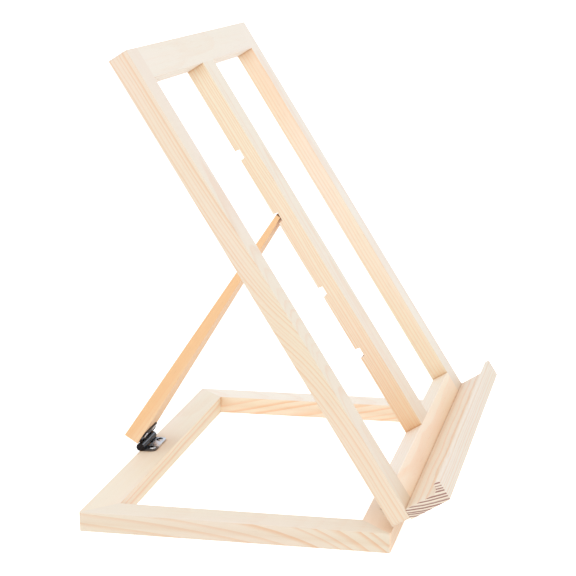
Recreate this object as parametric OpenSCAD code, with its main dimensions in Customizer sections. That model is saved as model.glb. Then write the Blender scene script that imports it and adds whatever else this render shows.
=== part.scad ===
// Folding wooden book display stand.
// A mitred base frame lies flat on the table, a hinged frame with a one-piece book ledge leans back,
// and a tapered prop strut, hinged at the rear of the base, stands in one of the notches cut across
// the back of the centre bar. Millimetres, +Z up, the reader sits at -Y, and the origin is the
// middle of the front rail's underside, on the table.

/* [Base frame] */
// Overall width of the base, from side to side
base_w = 240; // [200:1:280]
// Overall depth of the base, from front to back
base_d = 166; // [160:1:172]
// Thickness of the base rails
base_t = 10.5; // [10:0.5:14]
// Width of each base rail, as seen from above
base_rail_w = 17.5; // [17:0.5:24]

/* [Backrest frame] */
// Overall width of the backrest
back_w = 236; // [230:1:240]
// Overall length of the backrest, measured up its slope
back_l = 273; // [260:1:300]
// Thickness of every backrest member
back_t = 10.8; // [9:0.1:12]
// Width of the left and right stiles
stile_w = 17.5; // [17:0.5:20]
// Width of the top rail
top_rail_w = 17.5; // [16:0.5:30]
// Width of the bottom rail
bottom_rail_w = 19; // [19:0.5:26]
// Width of the notched centre bar
bar_w = 22; // [20:0.5:30]
// Angle between the backrest and the table
tilt = 58.6; // [56:0.1:61]
// How far the backrest's lower end reaches past its hinge pins
back_overhang = 1; // [0:0.1:1.1]

/* [Notches] */
// Height of the lowest notch up the backrest
notch_first = 71.5; // [60:0.5:80]
// Steps from each notch to the next one up
notch_steps = [40.5, 48.5, 41]; // [30:0.5:50]
// Length of a notch at its mouth
notch_mouth = 6; // [5.8:0.1:7]
// Length of a notch at its bottom
notch_floor = 5.2; // [5:0.1:5.8]
// Depth of a notch
notch_depth = 2.7; // [2.5:0.1:3]

/* [Book ledge] */
// Depth of the ledge, out from the front of the backrest
ledge_d = 22.9; // [20:0.1:30]
// Thickness of the ledge's shelf
shelf_t = 5.9; // [5:0.1:6.5]
// Height of the ledge over its lip
lip_h = 10.9; // [10.6:0.1:14]
// Thickness of the lip
lip_t = 3.4; // [3:0.1:5]
// Radius of the cove between the shelf and the lip
cove_r = 3.5; // [2:0.1:4]
// How far the underside of the ledge reaches past the backrest's lower end
ledge_drop = 0.6; // [0:0.1:1]

/* [Prop strut] */
// Width of the strut at its hinged end
strut_foot_w = 31.5; // [26:0.5:36]
// Width of the strut at its tip
strut_tip_w = 21; // [16:0.5:25]
// Thickness of the strut at its hinged end
strut_foot_t = 9.3; // [8:0.1:10]
// Thickness of the strut at its tip
strut_tip_t = 3; // [2.6:0.1:4]
// Distance from the rear hinge pin to the strut's square-cut foot
strut_setback = 1; // [0.8:0.1:2]

/* [Hinges] */
// Length of a hinge barrel
barrel_l = 25; // [20:0.5:26]
// Outside radius of a hinge barrel
knuckle_r = 2.3; // [2.1:0.1:2.6]
// Radius of a hinge pin
pin_r = 1; // [0.8:0.1:1.2]
// Thickness of a hinge leaf
leaf_t = 1; // [0.8:0.1:1.2]
// Distance from the pin to the far edge of a leaf
leaf_w = 9; // [8.5:0.1:10]
// Distance of each backrest hinge from the middle of the stand
hinge_x = 75; // [60:1:75]
// Distance of the prop hinge from the middle of the stand, to the left
prop_hinge_x = 3; // [0:0.1:3.5]

/* [Fasteners] */
// Radius of a wood screw's shank
screw_r = 1.15; // [1:0.05:1.3]
// Radius of a wood screw's head
screw_head_r = 2.2; // [2:0.1:2.4]
// Height of a wood screw's raised head over its leaf
screw_dome_h = 0.8; // [0.5:0.1:1]
// Length of a wood screw
screw_l = 8; // [6:0.5:8.5]
// Radius of a dowel
dowel_r = 2; // [1.5:0.1:2.5]
// Length of a dowel
dowel_l = 20; // [16:1:20]
// Radius of a ledge brad
brad_r = 0.6; // [0.5:0.05:0.8]
// Length of a ledge brad
brad_l = 22; // [16:1:26]

/* [Hidden] */
$fn = 40;

pine = "#F3DDBE";
pine_warm = "#EBC595";
beech = "#D9B48A";
nickel = "#A9ABAE";
steel = "#8B8E92";

// Small overlap that keeps a cut from ending on a face.
cut = 1;
// Thickness of the end slices that a tapered shape is drawn between.
slice_t = 0.01;
// Radius that eases the long edges of the wood, and that of the frames' outer corners.
edge_r = 0.4;
corner_r = 1.6;
// Clearances: a turning pin, a fixed pin, a glued or driven fastener, and between knuckles.
run_gap = 0.05;
tight_gap = 0.02;
glue_gap = 0.05;
knuckle_gap = 0.2;

// The hinge pins run along X, just inside the base's front and rear edges.
front_pin_inset = 1.7;
rear_pin_inset = 0.5;
pin_z = base_t + knuckle_r;
base_mid_y = (base_d - base_rail_w) / 2;
front_pin_y = base_mid_y - base_d / 2 + front_pin_inset;
rear_pin_y = base_mid_y + base_d / 2 - rear_pin_inset;

inner_w = back_w - 2 * stile_w;
bar_l = back_l - top_rail_w - bottom_rail_w;
rail_dowel_step = 9;
bar_dowel_step = 12;

// Lower mouth edge of each notch, from the lowest to the highest.
notch_v = [for (i = 0; i <= len(notch_steps); i = i + 1) notch_first + step_sum(i) - notch_mouth / 2];
used_notch = 2;

// Angle between the strut and the backrest's normal at the working position, near enough to place the tip.
strut_lean = 25.6;

// The strut's tip sits in its notch: the corner under the tip clears the notch's floor and the corner
// over the tip clears its upper end.
tip_floor_gap = 0.2;
tip_end_gap = 1;
tip_w = notch_depth - tip_floor_gap;
tip_v = notch_v[used_notch] + notch_mouth - tip_end_gap - strut_tip_t * cos(strut_lean);

// Pin to tip: along y and z, then as the strut's own length and its angle over the base.
tip_dy = front_pin_y - rear_pin_y + (tip_v - back_overhang) * cos(tilt) - (tip_w + knuckle_r) * sin(tilt);
tip_dz = (tip_v - back_overhang) * sin(tilt) + (tip_w + knuckle_r) * cos(tilt);
strut_reach = sqrt(tip_dy * tip_dy + tip_dz * tip_dz - knuckle_r * knuckle_r);
strut_l = strut_reach - strut_setback;
strut_angle = 180 - atan2(tip_dz, tip_dy) - atan2(knuckle_r, strut_reach);

leaf_corner_r = 3.2;
leaf_root = knuckle_r + 0.3;
knuckle_l = (barrel_l - 2 * knuckle_gap) / 3;
screw_x = 8;
screw_y = 5.8;
screw_tip_l = 2.5;
leaf_hole_r = screw_r + 0.25;

brad_head_r = 1.1;
brad_head_t = 0.5;
brad_inset = 6;
brad_xs = [brad_inset - back_w / 2, -48, 0, 48, back_w / 2 - brad_inset];
brad_v = shelf_t / 2 - ledge_drop;

nail_leg = 6;
nail_t = 0.5;
nail_h = 7;

function step_sum(n) = n == 0 ? 0 : notch_steps[n - 1] + step_sum(n - 1);

// ---- Frames of reference ----

// Backrest: x across, y up the slope from the lower end, z from the back face towards the reader.
module on_back() {
    translate([0, front_pin_y, pin_z])
        rotate([tilt, 0, 0])
            translate([0, -back_overhang, knuckle_r])
                children();
}

// Strut: x across, y from the foot to the tip, z away from the hinged face.
module on_strut() {
    on_rear_pin(0)
        rotate([strut_angle, 0, 0])
            translate([0, strut_setback, knuckle_r])
                children();
}

// Hinges: x along the pin, y over the base rail, z up.
module at_front_hinge(side) {
    translate([side * hinge_x, front_pin_y, pin_z])
        children();
}

module at_rear_hinge() {
    on_rear_pin(-prop_hinge_x)
        children();
}

module on_rear_pin(x) {
    translate([x, rear_pin_y, pin_z])
        mirror([0, 1, 0])
            children();
}

// ---- Shapes that repeat ----

// Rectangle with round corners, centred on x and starting at y = 0.
module soft_rect(w, h, r) {
    translate([r - w / 2, 0])
        square([w - 2 * r, h]);
    translate([-w / 2, r])
        square([w, h - 2 * r]);
    for (x = [r - w / 2, w / 2 - r])
        for (y = [r, h - r])
            translate([x, y])
                circle(r);
}

// Bar of wood along y, with its four long edges eased.
module bar_along_y(w, l, t) {
    translate([0, l, 0])
        rotate([90, 0, 0])
            linear_extrude(l)
                soft_rect(w, t, edge_r);
}

// The same bar along x, from y = 0 to its width.
module bar_along_x(w, l, t) {
    translate([-l / 2, w / 2, 0])
        rotate([0, 0, -90])
            bar_along_y(w, l, t);
}

// Whole outline of a frame lying flat, with its outer edges and corners eased.
module frame_outline(w, l, t) {
    intersection() {
        linear_extrude(t)
            soft_rect(w, l, corner_r);
        bar_along_y(w, l, t);
        bar_along_x(l, w, t);
    }
}

// Cylinder along x, centred.
module rod_along_x(r, l) {
    rotate([0, 90, 0])
        cylinder(r = r, h = l, center = true);
}

// ---- Base frame ----

// Thin V of steel, driven up across a mitre from below; the V opens towards the outside.
module corner_nail() {
    for (turn = [0, 90])
        rotate([0, 0, turn])
            translate([-nail_t / 2, -nail_t / 2, 0])
                cube([nail_leg, nail_t, nail_h]);
}

module base_corner_nails() {
    inset = base_rail_w * 0.62;
    color(steel)
        for (sx = [-1, 1])
            for (sy = [-1, 1])
                translate([sx * (base_w / 2 - inset), base_mid_y + sy * (base_d / 2 - inset), 0])
                    mirror([sx > 0 ? 0 : 1, 0, 0])
                        mirror([0, sy > 0 ? 0 : 1, 0])
                            corner_nail();
}

// Rail of the given length along x, at y = 0 outside, cut at 45 degrees at both ends.
module mitred_rail(l) {
    intersection() {
        bar_along_x(base_rail_w, l, base_t);
        linear_extrude(base_t)
            polygon([[-l / 2, 0], [l / 2, 0], [l / 2 - base_rail_w, base_rail_w],
                [base_rail_w - l / 2, base_rail_w]]);
    }
}

// Outer corners eased, and slots for the corner nails.
module base_rail(l, turn, out) {
    difference() {
        translate([0, base_mid_y, 0])
            intersection() {
                rotate([0, 0, turn])
                    translate([0, -out, 0])
                        mitred_rail(l);
                linear_extrude(base_t)
                    translate([0, -base_d / 2])
                        soft_rect(base_w, base_d, corner_r);
            }
        base_corner_nails();
    }
}

module base_left_rail() {
    color(pine)
        base_rail(base_d, -90, base_w / 2);
}

module base_right_rail() {
    color(pine)
        base_rail(base_d, 90, base_w / 2);
}

module base_front_rail() {
    color(pine)
        difference() {
            base_rail(base_w, 0, base_d / 2);
            for (side = [-1, 1])
                at_front_hinge(side)
                    screw_pilots();
        }
}

module base_rear_rail() {
    color(pine)
        difference() {
            base_rail(base_w, 180, base_d / 2);
            at_rear_hinge()
                screw_pilots();
        }
}

// ---- Backrest ----

// A stile keeps its inner edges square where the rails join it.
module stile(side) {
    stile_x = side * (back_w - stile_w) / 2;
    on_back()
        difference() {
            intersection() {
                union() {
                    translate([stile_x, 0, 0])
                        bar_along_y(stile_w, back_l, back_t);
                    for (zone = [[0, bottom_rail_w], [back_l - top_rail_w, top_rail_w]])
                        translate([stile_x - (side + 1) / 2 * stile_w / 2, zone[0], 0])
                            cube([stile_w / 2, zone[1], back_t]);
                }
                frame_outline(back_w, back_l, back_t);
            }
            rail_dowels(glue_gap);
            ledge_brad_set(tight_gap);
        }
}

module back_left_stile() {
    color(pine)
        stile(-1);
}

module back_right_stile() {
    color(pine)
        stile(1);
}

// A rail between the stiles keeps its inner edges square where the centre bar joins it.
module cross_rail(v, w, inner_edge_v) {
    intersection() {
        union() {
            translate([0, v, 0])
                bar_along_x(w, inner_w, back_t);
            translate([-bar_w / 2, inner_edge_v, 0])
                cube([bar_w, w / 2, back_t]);
        }
        frame_outline(back_w, back_l, back_t);
    }
}

module back_top_rail() {
    rail_v = back_l - top_rail_w;
    color(pine)
        on_back()
            difference() {
                cross_rail(rail_v, top_rail_w, rail_v);
                rail_dowels(glue_gap);
                bar_dowels(glue_gap);
            }
}

module back_bottom_rail() {
    color(pine)
        difference() {
            on_back()
                difference() {
                    cross_rail(0, bottom_rail_w, bottom_rail_w / 2);
                    rail_dowels(glue_gap);
                    bar_dowels(glue_gap);
                    ledge_brad_set(tight_gap);
                }
            for (side = [-1, 1])
                at_front_hinge(side)
                    rotate([tilt, 0, 0])
                        mirror([0, 0, 1])
                            screw_pilots();
        }
}

// Notch across the back of the centre bar, with sides that narrow slightly inwards.
module notch() {
    slope = (notch_mouth - notch_floor) / 2;
    translate([-bar_w / 2 - cut, 0, 0])
        rotate([90, 0, 90])
            linear_extrude(bar_w + 2 * cut)
                polygon([[0, -cut], [notch_mouth, -cut], [notch_mouth, 0], [notch_mouth - slope, notch_depth],
                    [slope, notch_depth], [0, 0]]);
}

module back_centre_bar() {
    color(pine)
        on_back()
            difference() {
                translate([0, bottom_rail_w, 0])
                    bar_along_y(bar_w, bar_l, back_t);
                for (v = notch_v)
                    translate([0, v, 0])
                        notch();
                bar_dowels(glue_gap);
            }
}

// Dowels that join the rails to the stiles, or the bores for them when grown by a gap.
module rail_dowels(gap) {
    for (side = [-1, 1])
        for (rail_v = [bottom_rail_w / 2, back_l - top_rail_w / 2])
            for (step = [-0.5, 0.5])
                translate([side * inner_w / 2, rail_v + step * rail_dowel_step, back_t / 2])
                    rod_along_x(dowel_r + gap, dowel_l + 2 * gap);
}

// Dowels that join the centre bar to the rails.
module bar_dowels(gap) {
    for (joint_v = [bottom_rail_w, back_l - top_rail_w])
        for (step = [-0.5, 0.5])
            translate([step * bar_dowel_step, joint_v, back_t / 2])
                rotate([90, 0, 0])
                    cylinder(r = dowel_r + gap, h = dowel_l + 2 * gap, center = true);
}

module back_dowels() {
    color(beech)
        on_back() {
            rail_dowels(0);
            bar_dowels(0);
        }
}

// Section of the ledge: shelf, lip and the small cove between them; x out from the backrest, y up.
module ledge_section() {
    union() {
        square([ledge_d / 2, shelf_t]);
        difference() {
            translate([ledge_d / 2, 0])
                soft_rect(ledge_d, shelf_t, edge_r);
            square([edge_r, shelf_t]);
        }
        translate([ledge_d - lip_t / 2, 0])
            soft_rect(lip_t, lip_h, 1.1);
        translate([ledge_d - lip_t - cove_r, shelf_t - edge_r])
            difference() {
                square([cove_r + edge_r, cove_r + edge_r]);
                translate([0, cove_r + edge_r])
                    circle(cove_r);
            }
    }
}

module book_ledge() {
    color(pine)
        on_back()
            difference() {
                translate([-back_w / 2, -ledge_drop, back_t])
                    mirror([0, 0, 1])
                        rotate([0, 90, 0])
                            linear_extrude(back_w)
                                ledge_section();
                ledge_brad_set(tight_gap);
            }
}

// Brads driven from the back through the bottom rail and the stiles into the ledge's shelf.
module ledge_brad_set(gap) {
    for (x = brad_xs)
        translate([x, brad_v, 0]) {
            cylinder(r = brad_r + gap, h = brad_l + gap);
            cylinder(r = brad_head_r + gap, h = brad_head_t + gap);
        }
}

module ledge_brads() {
    color(steel)
        on_back()
            ledge_brad_set(0);
}

// ---- Hinges ----

// Flat outline of a leaf: rounded far corners, and tabs that reach the pin at its own knuckles.
module leaf_outline(tabs) {
    difference() {
        translate([0, leaf_root - leaf_corner_r])
            soft_rect(barrel_l, leaf_w - leaf_root + leaf_corner_r, leaf_corner_r);
        translate([-barrel_l, leaf_root - 2 * leaf_corner_r])
            square([2 * barrel_l, 2 * leaf_corner_r]);
    }
    for (x = tabs)
        translate([x - knuckle_l / 2, 0])
            square([knuckle_l, leaf_root + leaf_corner_r]);
}

// One leaf lying flat under its pin, with knuckles at the given places.
module leaf(tabs, pin_gap) {
    difference() {
        union() {
            translate([0, 0, -knuckle_r])
                linear_extrude(leaf_t)
                    leaf_outline(tabs);
            for (x = tabs)
                translate([x, 0, 0])
                    rod_along_x(knuckle_r, knuckle_l);
        }
        for (x = tabs)
            translate([x, 0, 0])
                rod_along_x(pin_r + pin_gap, knuckle_l + 2 * cut);
        for (x = [-screw_x, screw_x])
            translate([x, screw_y, leaf_t - knuckle_r]) {
                translate([0, 0, -leaf_t - cut])
                    cylinder(r = leaf_hole_r, h = leaf_t + 2 * cut);
                screw_head(glue_gap);
            }
    }
}

module fixed_leaf() {
    leaf([-knuckle_l - knuckle_gap, knuckle_l + knuckle_gap], tight_gap);
}

// The moving leaf, turned to its opening angle.
module moving_leaf(angle) {
    rotate([angle, 0, 0])
        mirror([0, 0, 1])
            leaf([0], run_gap);
}

module hinge_pin() {
    rod_along_x(pin_r, barrel_l);
}

// Countersunk part of a head, with its rim level with z = 0.
module screw_head(gap) {
    head_h = leaf_t * 0.9;
    translate([0, 0, -head_h])
        cylinder(r1 = screw_r + gap, r2 = screw_head_r + gap, h = head_h + gap);
}

// Raised part of a head, in two slopes.
module screw_dome() {
    cylinder(r1 = screw_head_r, r2 = screw_head_r * 0.85, h = screw_dome_h * 0.6);
    translate([0, 0, screw_dome_h * 0.6])
        cylinder(r1 = screw_head_r * 0.85, r2 = screw_head_r * 0.5, h = screw_dome_h * 0.4);
}

module wood_screw() {
    recess_w = 0.5;
    recess_l = 2.6;
    recess_h = 0.7;
    difference() {
        union() {
            screw_head(0);
            screw_dome();
            translate([0, 0, screw_tip_l - screw_l])
                cylinder(r = screw_r, h = screw_l - screw_tip_l - leaf_t / 2);
            translate([0, 0, -screw_l])
                cylinder(r1 = 0.1, r2 = screw_r, h = screw_tip_l);
        }
        for (turn = [0, 90])
            rotate([0, 0, turn])
                translate([-recess_l / 2, -recess_w / 2, screw_dome_h - recess_h])
                    cube([recess_l, recess_w, recess_h + cut]);
    }
}

// The two screws of a leaf that lies flat under its pin.
module leaf_screws() {
    for (x = [-screw_x, screw_x])
        translate([x, screw_y, leaf_t - knuckle_r])
            wood_screw();
}

// Pilot bores for those screws, in the wood under the leaf.
module screw_pilots() {
    for (x = [-screw_x, screw_x])
        translate([x, screw_y, leaf_t - knuckle_r - screw_l - glue_gap])
            cylinder(r = screw_r + tight_gap, h = screw_l);
}

module left_hinge_base_leaf() {
    color(nickel)
        at_front_hinge(-1)
            fixed_leaf();
}

module left_hinge_back_leaf() {
    color(nickel)
        at_front_hinge(-1)
            moving_leaf(tilt);
}

module left_hinge_pin() {
    color(steel)
        at_front_hinge(-1)
            hinge_pin();
}

module left_hinge_base_screws() {
    color(steel)
        at_front_hinge(-1)
            leaf_screws();
}

module left_hinge_back_screws() {
    color(steel)
        at_front_hinge(-1)
            rotate([tilt, 0, 0])
                mirror([0, 0, 1])
                    leaf_screws();
}

module right_hinge_base_leaf() {
    color(nickel)
        at_front_hinge(1)
            fixed_leaf();
}

module right_hinge_back_leaf() {
    color(nickel)
        at_front_hinge(1)
            moving_leaf(tilt);
}

module right_hinge_pin() {
    color(steel)
        at_front_hinge(1)
            hinge_pin();
}

module right_hinge_base_screws() {
    color(steel)
        at_front_hinge(1)
            leaf_screws();
}

module right_hinge_back_screws() {
    color(steel)
        at_front_hinge(1)
            rotate([tilt, 0, 0])
                mirror([0, 0, 1])
                    leaf_screws();
}

// ---- Prop strut ----

// Thin slice across the strut, with its corners eased.
module strut_slice(y, w, t) {
    translate([0, y, 0])
        rotate([90, 0, 0])
            linear_extrude(slice_t)
                soft_rect(w, t, edge_r);
}

// The strut narrows and thins from its foot to its tip, and its hinged face stays straight.
module prop_strut() {
    color(pine_warm)
        difference() {
            on_strut()
                hull() {
                    strut_slice(slice_t, strut_foot_w, strut_foot_t);
                    strut_slice(strut_l, strut_tip_w, strut_tip_t);
                }
            at_rear_hinge()
                rotate([strut_angle, 0, 0])
                    mirror([0, 0, 1])
                        screw_pilots();
        }
}

module prop_hinge_base_leaf() {
    color(nickel)
        at_rear_hinge()
            fixed_leaf();
}

module prop_hinge_strut_leaf() {
    color(nickel)
        at_rear_hinge()
            moving_leaf(strut_angle);
}

module prop_hinge_pin() {
    color(steel)
        at_rear_hinge()
            hinge_pin();
}

module prop_hinge_base_screws() {
    color(steel)
        at_rear_hinge()
            leaf_screws();
}

module prop_hinge_strut_screws() {
    color(steel)
        at_rear_hinge()
            rotate([strut_angle, 0, 0])
                mirror([0, 0, 1])
                    leaf_screws();
}

base_left_rail();
base_right_rail();
base_front_rail();
base_rear_rail();
base_corner_nails();
back_left_stile();
back_right_stile();
back_top_rail();
back_bottom_rail();
back_centre_bar();
back_dowels();
book_ledge();
ledge_brads();
left_hinge_base_leaf();
left_hinge_back_leaf();
left_hinge_pin();
left_hinge_base_screws();
left_hinge_back_screws();
right_hinge_base_leaf();
right_hinge_back_leaf();
right_hinge_pin();
right_hinge_base_screws();
right_hinge_back_screws();
prop_strut();
prop_hinge_base_leaf();
prop_hinge_strut_leaf();
prop_hinge_pin();
prop_hinge_base_screws();
prop_hinge_strut_screws();
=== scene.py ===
"""Folding wooden book display stand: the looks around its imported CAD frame.

Every board is cut out of a solid, procedural pine: growth rings round a pith line, latewood bands, fibres
and resin canals, all in the board's own axes, so faces, edges and end grain agree with one another.
Metres, +Z up, the reader at -Y, as in the frame.
"""
import math

import bpy
from mathutils import Euler, Matrix, Vector


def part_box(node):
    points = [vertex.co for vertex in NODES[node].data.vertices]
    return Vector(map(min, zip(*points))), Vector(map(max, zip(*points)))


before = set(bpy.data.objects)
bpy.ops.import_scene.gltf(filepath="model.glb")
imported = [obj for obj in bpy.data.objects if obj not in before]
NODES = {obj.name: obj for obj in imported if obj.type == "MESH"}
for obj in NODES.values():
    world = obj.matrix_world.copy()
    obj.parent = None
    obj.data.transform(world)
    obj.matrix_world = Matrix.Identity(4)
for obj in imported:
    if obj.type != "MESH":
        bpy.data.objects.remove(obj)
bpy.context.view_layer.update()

MM = 0.001
WHITE = (1.0, 1.0, 1.0, 1.0)


# ---- Shader graphs ----

class Graph:
    """Adds nodes to one shader tree. An input is another node's socket, a number or a tuple."""

    def __init__(self, tree):
        self.tree = tree

    def add(self, kind, **settings):
        node = self.tree.nodes.new(kind)
        for name, value in settings.items():
            setattr(node, name, value)
        return node

    def feed(self, socket, value):
        if isinstance(value, bpy.types.NodeSocket):
            self.tree.links.new(value, socket)
        elif isinstance(value, (tuple, list, Vector, Euler)) or socket.type not in ("VECTOR", "RGBA"):
            socket.default_value = value
        else:
            socket.default_value = (value,) * len(socket.default_value)

    def feed_all(self, node, values):
        for name, value in values.items():
            self.feed(node.inputs[name], value)

    def math(self, operation, *values, clamp=False):
        node = self.add("ShaderNodeMath", operation=operation, use_clamp=clamp)
        for socket, value in zip(node.inputs, values):
            self.feed(socket, value)
        return node.outputs[0]

    def vector(self, operation, *values):
        node = self.add("ShaderNodeVectorMath", operation=operation)
        for socket, value in zip(node.inputs, values):
            self.feed(socket, value)
        return node.outputs["Value" if operation in ("LENGTH", "DOT_PRODUCT") else "Vector"]

    def scale(self, vector, factor):
        node = self.add("ShaderNodeVectorMath", operation="SCALE")
        self.feed(node.inputs[0], vector)
        self.feed(node.inputs["Scale"], factor)
        return node.outputs["Vector"]

    def swing(self, noise, gain):
        """Noise between 0 and 1 turned into a swing round 0."""
        return self.math("MULTIPLY", self.math("SUBTRACT", noise, 0.5), gain)

    def facing(self, normal, axis):
        """1 where the surface faces along the axis, either way, and 0 where it faces across it."""
        return self.math("ABSOLUTE", self.vector("DOT_PRODUCT", normal, axis))

    def xyz(self, vector):
        node = self.add("ShaderNodeSeparateXYZ")
        self.feed(node.inputs[0], vector)
        return node.outputs[0], node.outputs[1], node.outputs[2]

    def combine(self, x, y, z):
        node = self.add("ShaderNodeCombineXYZ")
        for socket, value in zip(node.inputs, (x, y, z)):
            self.feed(socket, value)
        return node.outputs[0]

    def noise(self, vector, scale=1.0, detail=2.0, roughness=0.5, w=0.0):
        node = self.add("ShaderNodeTexNoise", noise_dimensions="4D")
        self.feed_all(node, {"Vector": vector, "W": w, "Scale": scale, "Detail": detail,
                             "Roughness": roughness})
        return node.outputs["Fac"]

    def random(self, value, w):
        """A fixed random number between 0 and 1 for each whole value."""
        node = self.add("ShaderNodeTexWhiteNoise", noise_dimensions="2D")
        self.feed(node.inputs["Vector"], self.combine(value, w, 0.0))
        return node.outputs["Value"]

    def remap(self, value, low, high, to_low=0.0, to_high=1.0, smooth=False):
        node = self.add("ShaderNodeMapRange", clamp=True)
        node.interpolation_type = "SMOOTHSTEP" if smooth else "LINEAR"
        self.feed_all(node, {"Value": value, "From Min": low, "From Max": high, "To Min": to_low,
                             "To Max": to_high})
        return node.outputs["Result"]

    def mix(self, factor, a, b, blend="MIX"):
        node = self.add("ShaderNodeMix", data_type="RGBA", blend_type=blend, clamp_factor=True)
        for socket, value in zip((node.inputs[0], node.inputs[6], node.inputs[7]), (factor, a, b)):
            self.feed(socket, value)
        return node.outputs[2]

    def bump(self, height, strength, depth):
        """Surface direction over a relief, its depth in mm."""
        node = self.add("ShaderNodeBump")
        self.feed_all(node, {"Height": height, "Strength": strength, "Distance": depth * MM})
        return node.outputs["Normal"]


def new_material(name):
    """A new material, its graph and its shader."""
    material = bpy.data.materials.new(name)
    material.use_nodes = True
    return material, Graph(material.node_tree), material.node_tree.nodes["Principled BSDF"]


def linear(value):
    """Linear light from one 0 to 255 display value."""
    value /= 255
    return value / 12.92 if value <= 0.04 else ((value + 0.055) / 1.055) ** 2.4


def rgb(red, green, blue):
    return linear(red), linear(green), linear(blue), 1.0


# ---- Pine, as one node group ----

ROSY_EARLYWOOD = rgb(249, 230, 211)
STRAW_EARLYWOOD = rgb(246, 231, 205)
LATEWOOD = rgb(241, 184, 131)
HEART_TINT = rgb(243, 197, 146)
END_LATEWOOD = rgb(160, 108, 98)
# Cream that the wood is mixed towards: partly the board's own tone, partly painted sheen of grazing
# reflection.
CREAM = rgb(247, 236, 222)
PORE = rgb(190, 130, 90)

# Noises drawn out along the grain: steps per mm along it and across it, salt and detail.
DRIFT = (0.011, 0.022, 0.0, 1.0)
RIPPLE = (0.035, 0.12, 7.0, 2.0)
FIBRE = (0.07, 2.6, 11.0, 3.0)
STREAK = (0.012, 0.35, 17.0, 2.0)
CANAL = (0.16, 3.4, 23.0, 0.0)
WARM_PATCH = (0.008, 0.05, 29.0, 1.0)
HUE_PATCH = (0.009, 0.04, 37.0, 1.0)

# How far the drift and the ripple move a ring, in mm.
DRIFT_REACH = 4.0
RIPPLE_REACH = 0.9

# One ring, in shares of its width: where its latewood starts, peaks and ends, how steeply it sets in, and
# how much earlier it starts on end grain.
LATE_START = (0.27, 0.58)
LATE_PEAK = 0.9
LATE_END = 0.93
LATE_ONSET = 1.3
END_EARLIER = 0.2

# From ring to ring: how often and how far the pace of growth changes, and the weakest latewood.
# On end grain, how much stronger the latewood shows.
PACE_STEPS = 0.35
PACE_SWING = 2.2
WEAKEST_LATE = 0.45
END_STRONGER = 2.2

# A patch's noise from low to high, and how warm or yellow it makes the wood there.
WARM_SPREAD = (0.3, 0.7, 0.5, 1.5)
HUE_SPREAD = (0.35, 0.65, -0.5, 0.5)

# A canal's noise from none to full, and the share of the year over which canals set in.
CANAL_EDGE = (0.76, 0.82)
CANAL_SEASON = (0.25, 0.6)

# How far fibres, streaks and canals change the tone, the roughness and the height.
FIBRE_TONE, STREAK_TONE, CANAL_TONE = 0.28, 0.25, 0.25
WOOD_ROUGHNESS, FIBRE_ROUGHNESS, LATE_SMOOTHNESS = 0.5, 0.16, 0.1
FIBRE_HEIGHT, LATE_HEIGHT, CANAL_DEPTH = 0.5, 0.35, 0.6

VECTOR_INPUTS = ("Place", "Pith")
FLOAT_INPUTS = ("Lean", "Bend", "Bend middle", "Bend reach", "Ring", "Late", "Warm", "Straw", "Wander",
                "Seed", "Pale and sheen", "End")
OUTPUTS = {"Color": "NodeSocketColor", "Roughness": "NodeSocketFloat", "Height": "NodeSocketFloat"}


def drawn_out(g, board, kind, roughness=0.5):
    along, across, salt, detail = kind
    place = g.vector("MULTIPLY", board["Place"], (along, across, across))
    return g.noise(place, detail=detail, roughness=roughness, w=g.math("ADD", board["Seed"], salt))


def pith_distance(g, board):
    """Distance from the pith line, which leans, bends and wanders along the board."""
    x, y, z = g.xyz(board["Place"])
    _, pith_y, pith_z = g.xyz(board["Pith"])
    sweep = g.math("DIVIDE", g.math("SUBTRACT", x, board["Bend middle"]), board["Bend reach"])
    bow = g.math("MULTIPLY", g.math("TANH", sweep), board["Bend"])
    pith_z = g.math("ADD", g.math("MULTIPLY_ADD", x, board["Lean"], pith_z), bow)
    from_pith = g.combine(0.0, g.math("SUBTRACT", y, pith_y), g.math("SUBTRACT", z, pith_z))
    drift = g.swing(drawn_out(g, board, DRIFT), g.math("MULTIPLY", board["Wander"], DRIFT_REACH))
    ripple = g.swing(drawn_out(g, board, RIPPLE), RIPPLE_REACH)
    return g.math("ADD", g.vector("LENGTH", from_pith), g.math("ADD", drift, ripple))


def growth(g, board, distance):
    """How far through its year the wood is, and how much of it is latewood. No two rings are the same."""
    years = g.math("DIVIDE", distance, board["Ring"])
    pace = g.noise(g.combine(years, 0.0, 0.0), scale=PACE_STEPS, detail=1.0, w=board["Seed"])
    phase = g.math("ADD", years, g.swing(pace, PACE_SWING))
    ring = g.math("FLOOR", phase)
    season = g.math("FRACT", phase)
    strength = g.remap(g.random(ring, board["Seed"]), 0.0, 1.0, WEAKEST_LATE, 1.0)
    start = g.remap(g.random(ring, g.math("ADD", board["Seed"], 3.0)), 0.0, 1.0, *LATE_START)
    start = g.math("SUBTRACT", start, g.math("MULTIPLY", board["End"], END_EARLIER))
    rise = g.math("POWER", g.remap(season, start, LATE_PEAK, smooth=True), LATE_ONSET)
    fall = g.remap(season, LATE_END, 1.0, 1.0, 0.0, smooth=True)
    late = g.math("MULTIPLY", g.math("MULTIPLY", rise, fall), strength)
    late = g.math("MULTIPLY", late, g.remap(board["End"], 0.0, 1.0, 1.0, END_STRONGER), clamp=True)
    return season, late


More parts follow.
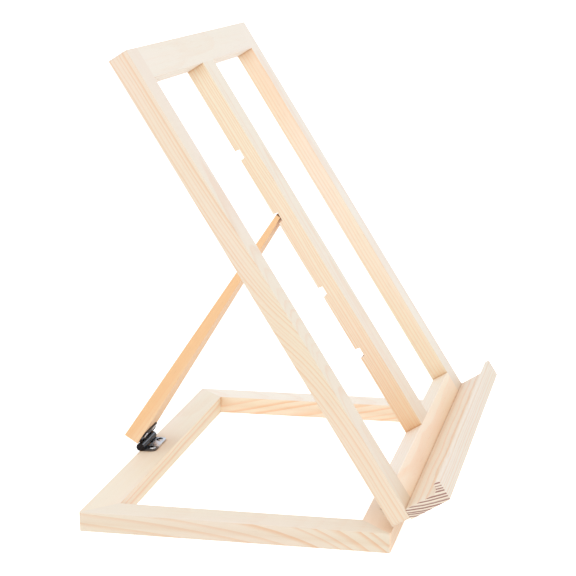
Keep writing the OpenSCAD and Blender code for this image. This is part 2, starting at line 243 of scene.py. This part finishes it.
def wood_colour(g, board, late, fibre, canal):
    tone = g.math("MULTIPLY", late, g.math("MAXIMUM", board["Late"], board["End"]))
    tone = g.math("ADD", tone, g.swing(fibre, FIBRE_TONE))
    tone = g.math("ADD", tone, g.swing(drawn_out(g, board, STREAK), STREAK_TONE), clamp=True)
    warm = g.math("MULTIPLY", board["Warm"], g.remap(drawn_out(g, board, WARM_PATCH), *WARM_SPREAD))
    hue = g.math("ADD", g.remap(drawn_out(g, board, HUE_PATCH), *HUE_SPREAD), board["Straw"], clamp=True)
    base = g.mix(hue, ROSY_EARLYWOOD, STRAW_EARLYWOOD)
    base = g.mix(warm, base, HEART_TINT)
    base = g.mix(board["Pale and sheen"], base, CREAM)
    colour = g.mix(tone, base, g.mix(board["End"], LATEWOOD, END_LATEWOOD))
    return g.mix(g.math("MULTIPLY", canal, CANAL_TONE), colour, PORE)


def pine_group():
    """Solid pine in millimetres: x along the grain, y and z across it."""
    tree = bpy.data.node_groups.new("solid_pine", "ShaderNodeTree")
    for name in VECTOR_INPUTS:
        tree.interface.new_socket(name, in_out="INPUT", socket_type="NodeSocketVector")
    for name in FLOAT_INPUTS:
        tree.interface.new_socket(name, in_out="INPUT", socket_type="NodeSocketFloat")
    for name, kind in OUTPUTS.items():
        tree.interface.new_socket(name, in_out="OUTPUT", socket_type=kind)
    g = Graph(tree)
    board = g.add("NodeGroupInput").outputs
    season, late = growth(g, board, pith_distance(g, board))
    fibre = drawn_out(g, board, FIBRE, roughness=0.6)
    canal = g.remap(drawn_out(g, board, CANAL), *CANAL_EDGE, smooth=True)
    canal = g.math("MULTIPLY", canal, g.remap(season, *CANAL_SEASON))
    roughness = g.math("ADD", WOOD_ROUGHNESS, g.math("MULTIPLY", fibre, FIBRE_ROUGHNESS))
    roughness = g.math("SUBTRACT", roughness, g.math("MULTIPLY", late, LATE_SMOOTHNESS))
    height = g.math("ADD", g.math("MULTIPLY", fibre, FIBRE_HEIGHT), g.math("MULTIPLY", late, LATE_HEIGHT))
    height = g.math("SUBTRACT", height, g.math("MULTIPLY", canal, CANAL_DEPTH))
    colour = wood_colour(g, board, late, fibre, canal)
    g.feed_all(g.add("NodeGroupOutput"), {"Color": colour, "Roughness": roughness, "Height": height})
    return tree


# ---- Boards ----

# How squarely a face looks along an axis before it counts as a flat face or as end grain.
FLAT_FACE = (0.6, 0.9)
END_FACE = (0.75, 0.95)

# The largest cosine between two faces that are taken as square to each other.
SQUARE = 0.05

# Strength and depth in mm of the wood's relief, and its shine.
WOOD_RELIEF = (0.25, 0.15)
WOOD_SHINE = {"Specular IOR Level": 0.75, "Sheen Weight": 0.12, "Sheen Roughness": 0.4}

# Painted shade on the wood's colour in a corner and in the joint itself, as reach in metres and tint; how
# open a spot is between shaded and clear; and the heights between which the white floor lights the painted
# shade away.
PAINTED_CORNER_SHADE = ((0.01, rgb(238, 221, 200)), (0.0012, rgb(224, 200, 174)))
OPENNESS = (0.35, 0.95)
FLOOR_LIT = (0.003, 0.009)


def flat_areas(mesh):
    """How much flat area faces each way, a direction and its opposite taken as one, the largest first."""
    areas = {}
    for face in mesh.polygons:
        normal = face.normal
        if max(normal, key=abs) < 0:
            normal = -normal
        key = tuple(round(c, 3) for c in normal)
        total, _ = areas.get(key, (0.0, None))
        areas[key] = (total + face.area, normal.copy())
    return sorted(areas.values(), key=lambda item: -item[0])


def board_axes(node):
    """A board's axes as a matrix: along it, across it and through it, read off its flat faces."""
    areas = flat_areas(NODES[node].data)
    through = areas[0][1]
    across = next(normal for _, normal in areas if abs(normal.dot(through)) < SQUARE)

    def span(axis):
        reach = [v.co.dot(axis) for v in NODES[node].data.vertices]
        return max(reach) - min(reach)

    axes = [across.normalized(), across.cross(through).normalized(), through.normalized()]
    along, wide = sorted(axes, key=span, reverse=True)[:2]
    along, wide = (axis if max(axis, key=abs) > 0 else -axis for axis in (along, wide))
    return Matrix((along, wide, along.cross(wide))).transposed()


# Painted shade: the wood's colour darkened where ambient occlusion finds other surfaces close by, but not
# just over the floor.
def painted_corner_shade(g, place):
    _, _, height = g.xyz(place)
    near_floor = g.remap(height, *FLOOR_LIT, 1.0, 0.0)
    shade = WHITE
    for reach, tint in PAINTED_CORNER_SHADE:
        node = g.add("ShaderNodeAmbientOcclusion", samples=4)
        g.feed(node.inputs["Distance"], reach)
        clear = g.math("MAXIMUM", g.remap(node.outputs["AO"], *OPENNESS), near_floor)
        shade = g.mix(1.0, g.mix(clear, tint, WHITE), shade, "MULTIPLY")
    return shade


def pine(node, pith, ring, late, warm, pale_and_sheen, gain, seed, lean=0.0, bend=(0.0, 0.0, 1.0), wander=1.0,
         straw=(0.5, 0.5), blush=(0.0, 1.0, 0.0)):
    """Material of one board.

    pith: where its pith line lies, across and through the board in mm from its middle.
    lean: how that line rises through the board's thickness along the grain.
    bend: an extra S in that rise, as half its height, its middle and its half length in mm.
    wander: how much that line strays.
    ring: width of a growth ring in mm.
    late, pale_and_sheen, gain: strength of the latewood, of a paling towards cream, and lightness, on edges
    and flat faces. The paling is partly the board's own tone and partly painted sheen; the lightness is
    partly the board's own and partly painted light.
    warm: how orange the board is.
    straw: how yellow the board is at its low and its high end.
    blush: a more orange stretch, as its middle and its reach along the board in mm, and its strength.
    """
    material, g, shader = new_material("pine_" + node)
    coordinates = g.add("ShaderNodeTexCoord").outputs
    place, normal = coordinates["Object"], coordinates["Normal"]
    low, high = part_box(node)
    half = max(high - low) / 2 / MM
    axes = board_axes(node)
    mapping = g.add("ShaderNodeMapping", vector_type="TEXTURE")
    g.feed_all(mapping, {"Vector": place, "Location": (low + high) / 2, "Rotation": axes.to_euler("XYZ"),
                         "Scale": (MM, MM, MM)})
    x, _, _ = g.xyz(mapping.outputs["Vector"])
    flat = g.facing(normal, axes.col[2])
    middle, reach, strength = blush
    from_blush = g.math("ABSOLUTE", g.math("SUBTRACT", x, middle))
    extra = g.remap(from_blush, 0.0, reach, strength, 0.0, smooth=True)
    wood = g.add("ShaderNodeGroup", node_tree=PINE)
    g.feed_all(wood, {
        "Place": mapping.outputs["Vector"],
        "Pith": (0.0, *pith),
        "Lean": lean,
        "Bend": bend[0],
        "Bend middle": bend[1],
        "Bend reach": bend[2],
        "Ring": ring,
        "Late": g.remap(flat, *FLAT_FACE, *late),
        "Warm": g.math("ADD", extra, warm),
        "Straw": g.remap(x, -half, half, *straw),
        "Wander": wander,
        "Seed": seed,
        # Paling towards cream on edges and flat faces: partly the board's own tone, partly painted sheen.
        "Pale and sheen": g.remap(flat, *FLAT_FACE, *pale_and_sheen),
        "End": g.remap(g.facing(normal, axes.col[0]), *END_FACE),
    })
    # Painted corner shade, scaled by gain: partly the board's own lightness, partly painted light on each
    # board and face.
    shade = g.scale(painted_corner_shade(g, place), g.remap(flat, *FLAT_FACE, *gain))
    g.feed_all(shader, {
        "Base Color": g.mix(1.0, wood.outputs["Color"], shade, "MULTIPLY"),
        "Roughness": wood.outputs["Roughness"],
        "Normal": g.bump(wood.outputs["Height"], *WOOD_RELIEF),
        **WOOD_SHINE,
    })
    return material


# gain is partly each board's own lightness and partly painted light, brightening or darkening boards and
# faces for the light that they get.
BOARDS = {
    "base_left_rail": dict(
        pith=(2.0, 90.0), lean=-0.08, bend=(-30.0, -83.0, 45.0), ring=5.4, wander=0.6, late=(0.65, 0.1),
        warm=0.0, straw=(0.7, 0.7), pale_and_sheen=(0.3, 0.4), gain=(0.89, 0.96), seed=1.3),
    "base_right_rail": dict(
        pith=(-6.0, -40.0), lean=0.22, ring=4.6, late=(0.7, 0.2), warm=0.05, straw=(1.0, 1.0),
        pale_and_sheen=(0.0, 0.85), gain=(1.09, 1.06), seed=2.1),
    "base_front_rail": dict(
        pith=(4.0, -36.0), lean=0.03, ring=2.6, late=(0.4, 0.2), warm=0.2, straw=(0.0, 0.0),
        pale_and_sheen=(0.0, 0.1), gain=(1.06, 1.06), seed=3.7),
    "base_rear_rail": dict(
        pith=(4.0, -50.0), lean=0.012, ring=4.6, late=(0.7, 0.15), warm=0.05, straw=(0.8, 0.8),
        pale_and_sheen=(0.1, 0.3), gain=(1.03, 1.01), seed=4.9),
    "back_left_stile": dict(
        pith=(3.0, 32.0), lean=0.01, bend=(11.0, -25.0, 38.0), ring=1.8, late=(0.55, 0.3), warm=0.1,
        straw=(1.0, -0.2), pale_and_sheen=(0.05, 0.35), gain=(0.91, 0.93), seed=5.2),
    "back_right_stile": dict(
        pith=(-3.0, 34.0), lean=0.01, ring=2.2, late=(0.4, 0.2), warm=0.05, blush=(90.0, 60.0, 0.3),
        straw=(1.0, 0.5), pale_and_sheen=(0.0, 0.75), gain=(1.02, 0.97), seed=6.4),
    "back_top_rail": dict(
        pith=(2.0, 60.0), lean=0.01, ring=2.4, late=(0.25, 0.2), warm=0.0, pale_and_sheen=(0.6, 0.6),
        gain=(0.96, 0.96), seed=7.8),
    "back_bottom_rail": dict(
        pith=(-3.0, 50.0), lean=0.01, ring=2.2, late=(0.25, 0.2), warm=0.0, pale_and_sheen=(0.6, 0.2),
        gain=(1.03, 1.12), seed=8.5),
    "back_centre_bar": dict(
        pith=(4.0, 30.0), lean=0.01, ring=1.3, wander=0.6, late=(0.85, 0.4), warm=0.08,
        blush=(-130.0, 110.0, 0.35), straw=(0.8, 0.8), pale_and_sheen=(0.0, 0.5), gain=(0.98, 0.95), seed=9.6),
    "book_ledge": dict(
        pith=(-31.0, 116.0), ring=1.45, wander=0.3, late=(0.65, 0.55), warm=0.05, straw=(0.7, 0.7),
        pale_and_sheen=(0.4, 0.6), gain=(0.92, 1.0), seed=10.3),
    "prop_strut": dict(
        pith=(3.0, 34.0), lean=0.01, ring=2.0, late=(0.45, 0.3), warm=1.25, pale_and_sheen=(0.0, 0.1),
        gain=(1.03, 1.03), seed=11.9),
}


def dress(node, material):
    """Gives a CAD node its material."""
    slots = NODES[node].data.materials
    slots.clear()
    slots.append(material)


def dress_boards():
    for node, figure in BOARDS.items():
        dress(node, pine(node, **figure))


# ---- Dowels ----

BEECH = rgb(226, 190, 146)
BEECH_FLECK = rgb(190, 140, 96)
FLECKS_PER_MM = 1.2


def beech():
    material, g, shader = new_material("beech_dowel")
    place = g.scale(g.add("ShaderNodeTexCoord").outputs["Object"], 1 / MM)
    fleck = g.noise(g.vector("MULTIPLY", place, (FLECKS_PER_MM,) * 3), detail=4.0)
    g.feed_all(shader, {"Base Color": g.mix(fleck, BEECH, BEECH_FLECK), "Roughness": 0.55})
    return material


# ---- Metal ----

BARREL_DARK = rgb(44, 40, 40)
# Painted highlight along the barrel.
BARREL_HIGHLIGHT = rgb(236, 236, 240)
# Painted reflection on a leaf beside the pin.
LEAF_REFLECTION = rgb(222, 223, 228)
SCREW_DARK = rgb(46, 43, 44)
# Painted highlight on the rim of a screw head.
SCREW_HIGHLIGHT = rgb(214, 214, 218)
STEEL = rgb(128, 126, 124)

# The side of a barrel where the painted highlight lies, and how far round it the painted highlight reaches.
HIGHLIGHT_SIDE = (0.0, -0.71, 0.70)
HIGHLIGHT_EDGE = 0.994

# The painted reflection on a leaf in mm: from and to, out from the pin, and its middle and half width along
# it.
FIXED_LEAF_PATCH = (2.7, 9.0)
MOVING_LEAF_PATCH = (4.4, 6.0)
PATCH_MIDDLE = 3.5
PATCH_WIDTH = 7.5

# How soft the painted reflection's edges are out from the pin and along it, how far a noise wobbles the
# first, in mm, and how much of the painted reflection is left beyond the second.
PATCH_EDGE = 1.0
PATCH_SIDE_EDGE = 2.0
PATCH_WOBBLE = 3.0
PATCH_LEFT = 0.15

# How squarely the painted highlight on the rim of a screw head looks along the screw, at its outer and its
# inner edge.
RIM_OUTER = (0.35, 0.45)
RIM_INNER = (0.7, 0.8)

# Brushing of the metal in steps per mm, the roughness without it and from it, and its strength and depth
# in mm.
BRUSH_STEPS = (0.6, 9.0, 9.0)
METAL_ROUGHNESS = 0.2
BRUSH_ROUGHNESS = 0.15
METAL_RELIEF = (0.15, 0.05)


def metal(name):
    """Polished metal with fine brushing, still without a colour.

    Returns the material, its graph, its shader, the place in mm and the surface's direction.
    """
    material, g, shader = new_material(name)
    coordinates = g.add("ShaderNodeTexCoord").outputs
    place = g.scale(coordinates["Object"], 1 / MM)
    brush = g.noise(g.vector("MULTIPLY", place, BRUSH_STEPS), detail=3.0)
    roughness = g.math("ADD", METAL_ROUGHNESS, g.math("MULTIPLY", brush, BRUSH_ROUGHNESS))
    g.feed_all(shader, {"Metallic": 1.0, "Roughness": roughness, "Normal": g.bump(brush, *METAL_RELIEF)})
    return material, g, shader, place, coordinates["Normal"]


def hinge_leaf(node):
    """Dark rolled barrel with a painted highlight along it, and a leaf with a painted reflection beside it.
    """
    material, g, shader, place, normal = metal("metal_" + node)
    pin_low, pin_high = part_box(node.split("_hinge_")[0] + "_hinge_pin")
    from_pin = g.vector("SUBTRACT", place, (pin_low + pin_high) / 2 / MM)
    distance = g.vector("LENGTH", g.vector("MULTIPLY", from_pin, (0.0, 1.0, 1.0)))
    wobble = g.noise(place, scale=0.5, detail=3.0, w=2.0)
    reach = g.math("ADD", distance, g.swing(wobble, PATCH_WOBBLE))
    sideways, _, _ = g.xyz(from_pin)
    sideways = g.math("ABSOLUTE", g.math("SUBTRACT", sideways, PATCH_MIDDLE))
    near, far = FIXED_LEAF_PATCH if node.endswith("base_leaf") else MOVING_LEAF_PATCH
    # Painted reflection: a lighter metal colour on the leaf beside the pin.
    starts = g.remap(reach, near, near + PATCH_EDGE, smooth=True)
    ends = g.remap(reach, far, far + PATCH_EDGE, 1.0, 0.0, smooth=True)
    wide = g.remap(sideways, PATCH_WIDTH, PATCH_WIDTH + PATCH_SIDE_EDGE, 1.0, PATCH_LEFT, smooth=True)
    bright = g.math("MULTIPLY", g.math("MULTIPLY", starts, ends), wide)
    # Painted highlight along the barrel, where its surface faces the side set above.
    barrel_highlight = g.remap(g.vector("DOT_PRODUCT", normal, HIGHLIGHT_SIDE), HIGHLIGHT_EDGE, 1.0, smooth=True)
    barrel = g.mix(barrel_highlight, BARREL_DARK, BARREL_HIGHLIGHT)
    g.feed(shader.inputs["Base Color"], g.mix(bright, barrel, LEAF_REFLECTION))
    return material


def screw_heads(node):
    """Dark recess and crown inside a painted highlight on the rim."""
    material, g, shader, _, normal = metal("metal_" + node)
    leaf = NODES[node.replace("_screws", "_leaf")]
    tilt = g.facing(normal, flat_areas(leaf.data)[0][1])
    rim = g.math("MULTIPLY", g.remap(tilt, *RIM_OUTER), g.remap(tilt, *RIM_INNER, 1.0, 0.0))
    g.feed(shader.inputs["Base Color"], g.mix(rim, SCREW_DARK, SCREW_HIGHLIGHT))
    return material


def plain_metal(name, colour):
    material, g, shader, _, _ = metal(name)
    g.feed(shader.inputs["Base Color"], colour)
    return material


def dress_hardware():
    steel = plain_metal("steel_fastener", STEEL)
    dark = plain_metal("metal_pin", BARREL_DARK)
    for node in NODES:
        if node in BOARDS:
            continue
        if node == "back_dowels":
            dress(node, beech())
        elif node.endswith("_leaf"):
            dress(node, hinge_leaf(node))
        elif node.endswith("_screws"):
            dress(node, screw_heads(node))
        elif node.endswith("_pin"):
            dress(node, dark)
        else:
            dress(node, steel)


# ---- Studio ----

# A white tent: its light on the wood, the tints of its -X and +X sides, and how far out the two meet.
TENT = 0.96
WARM_SIDE = (1.02, 1.0, 0.96, 1.0)
COOL_SIDE = (0.92, 1.0, 1.1, 1.0)
TINT_SPREAD = (-0.8, 0.8)

# Soft lamps by place, size in metres and power in watts, and the spot that they shine at.
LAMPS = {"key": ((-1.0, -0.6, 1.3), 1.1, 2.5), "fill": ((-1.7, -0.2, 0.4), 1.4, 0.8)}
LAMP_AIM = Vector((0.0, 0.05, 0.1))

# The floor: its colour, its own light as the lens and as the wood see it, and half its width in metres.
FLOOR_WHITE = rgb(247, 247, 247)
FLOOR_ROUGHNESS = 0.9
FLOOR_GLOW = 0.6
FLOOR_BOUNCE = 0.12
FLOOR_HALF = 6.0

# The camera: where it stands in metres, which way it looks and its field in degrees, its sensor in mm, and
# the nearest that it sees in metres.
CAMERA_PLACE = Vector((-0.8893, -0.1340, 0.3104))
CAMERA_AZIMUTH = -77.07
CAMERA_ELEVATION = 12.49
CAMERA_ROLL = -0.70
CAMERA_FIELD = 19.97
CAMERA_SENSOR = 36.0
CAMERA_NEAR = 0.01


def camera():
    data = bpy.data.cameras.new("camera")
    data.sensor_width = CAMERA_SENSOR
    data.angle = math.radians(CAMERA_FIELD)
    data.clip_start = CAMERA_NEAR
    eye = bpy.data.objects.new("camera", data)
    turn = Matrix.Rotation(math.radians(CAMERA_AZIMUTH), 4, "Z")
    tip = Matrix.Rotation(math.radians(90.0 - CAMERA_ELEVATION), 4, "X")
    roll = Matrix.Rotation(math.radians(CAMERA_ROLL), 4, "Z")
    eye.matrix_world = Matrix.Translation(CAMERA_PLACE) @ turn @ tip @ roll
    bpy.context.scene.collection.objects.link(eye)
    bpy.context.scene.camera = eye


def soft_lamp(name, place, size, power):
    data = bpy.data.lights.new(name, "AREA")
    data.shape = "DISK"
    data.size = size
    data.energy = power
    lamp = bpy.data.objects.new(name, data)
    lamp.location = place
    lamp.rotation_euler = (LAMP_AIM - lamp.location).to_track_quat("-Z", "Y").to_euler()
    bpy.context.scene.collection.objects.link(lamp)


def tent():
    """The lens sees pure white, and the wood a slightly dimmer white with a warm and a cool side."""
    world = bpy.data.worlds.new("studio")
    world.use_nodes = True
    g = Graph(world.node_tree)
    seen = g.add("ShaderNodeLightPath").outputs["Is Camera Ray"]
    side, _, _ = g.xyz(g.add("ShaderNodeTexCoord").outputs["Generated"])
    tint = g.mix(g.remap(side, *TINT_SPREAD), WARM_SIDE, COOL_SIDE)
    g.feed_all(world.node_tree.nodes["Background"], {
        "Color": g.mix(seen, tint, WHITE),
        "Strength": g.remap(seen, 0.0, 1.0, TENT, 1.0),
    })
    bpy.context.scene.world = world


def floor():
    mesh = bpy.data.meshes.new("floor")
    corners = [(x * FLOOR_HALF, y * FLOOR_HALF, 0.0) for x, y in ((-1, -1), (1, -1), (1, 1), (-1, 1))]
    mesh.from_pydata(corners, [], [(0, 1, 2, 3)])
    ground = bpy.data.objects.new("floor", mesh)
    bpy.context.scene.collection.objects.link(ground)
    material, g, shader = new_material("floor_white")
    seen = g.add("ShaderNodeLightPath").outputs["Is Camera Ray"]
    g.feed_all(shader, {
        "Base Color": FLOOR_WHITE,
        "Roughness": FLOOR_ROUGHNESS,
        "Emission Color": WHITE,
        "Emission Strength": g.remap(seen, 0.0, 1.0, FLOOR_BOUNCE, FLOOR_GLOW),
    })
    mesh.materials.append(material)


def studio():
    bpy.context.scene.view_settings.view_transform = "Standard"
    tent()
    for name, lamp in LAMPS.items():
        soft_lamp(name, *lamp)
    floor()
    camera()


PINE = pine_group()
dress_boards()
dress_hardware()
studio()
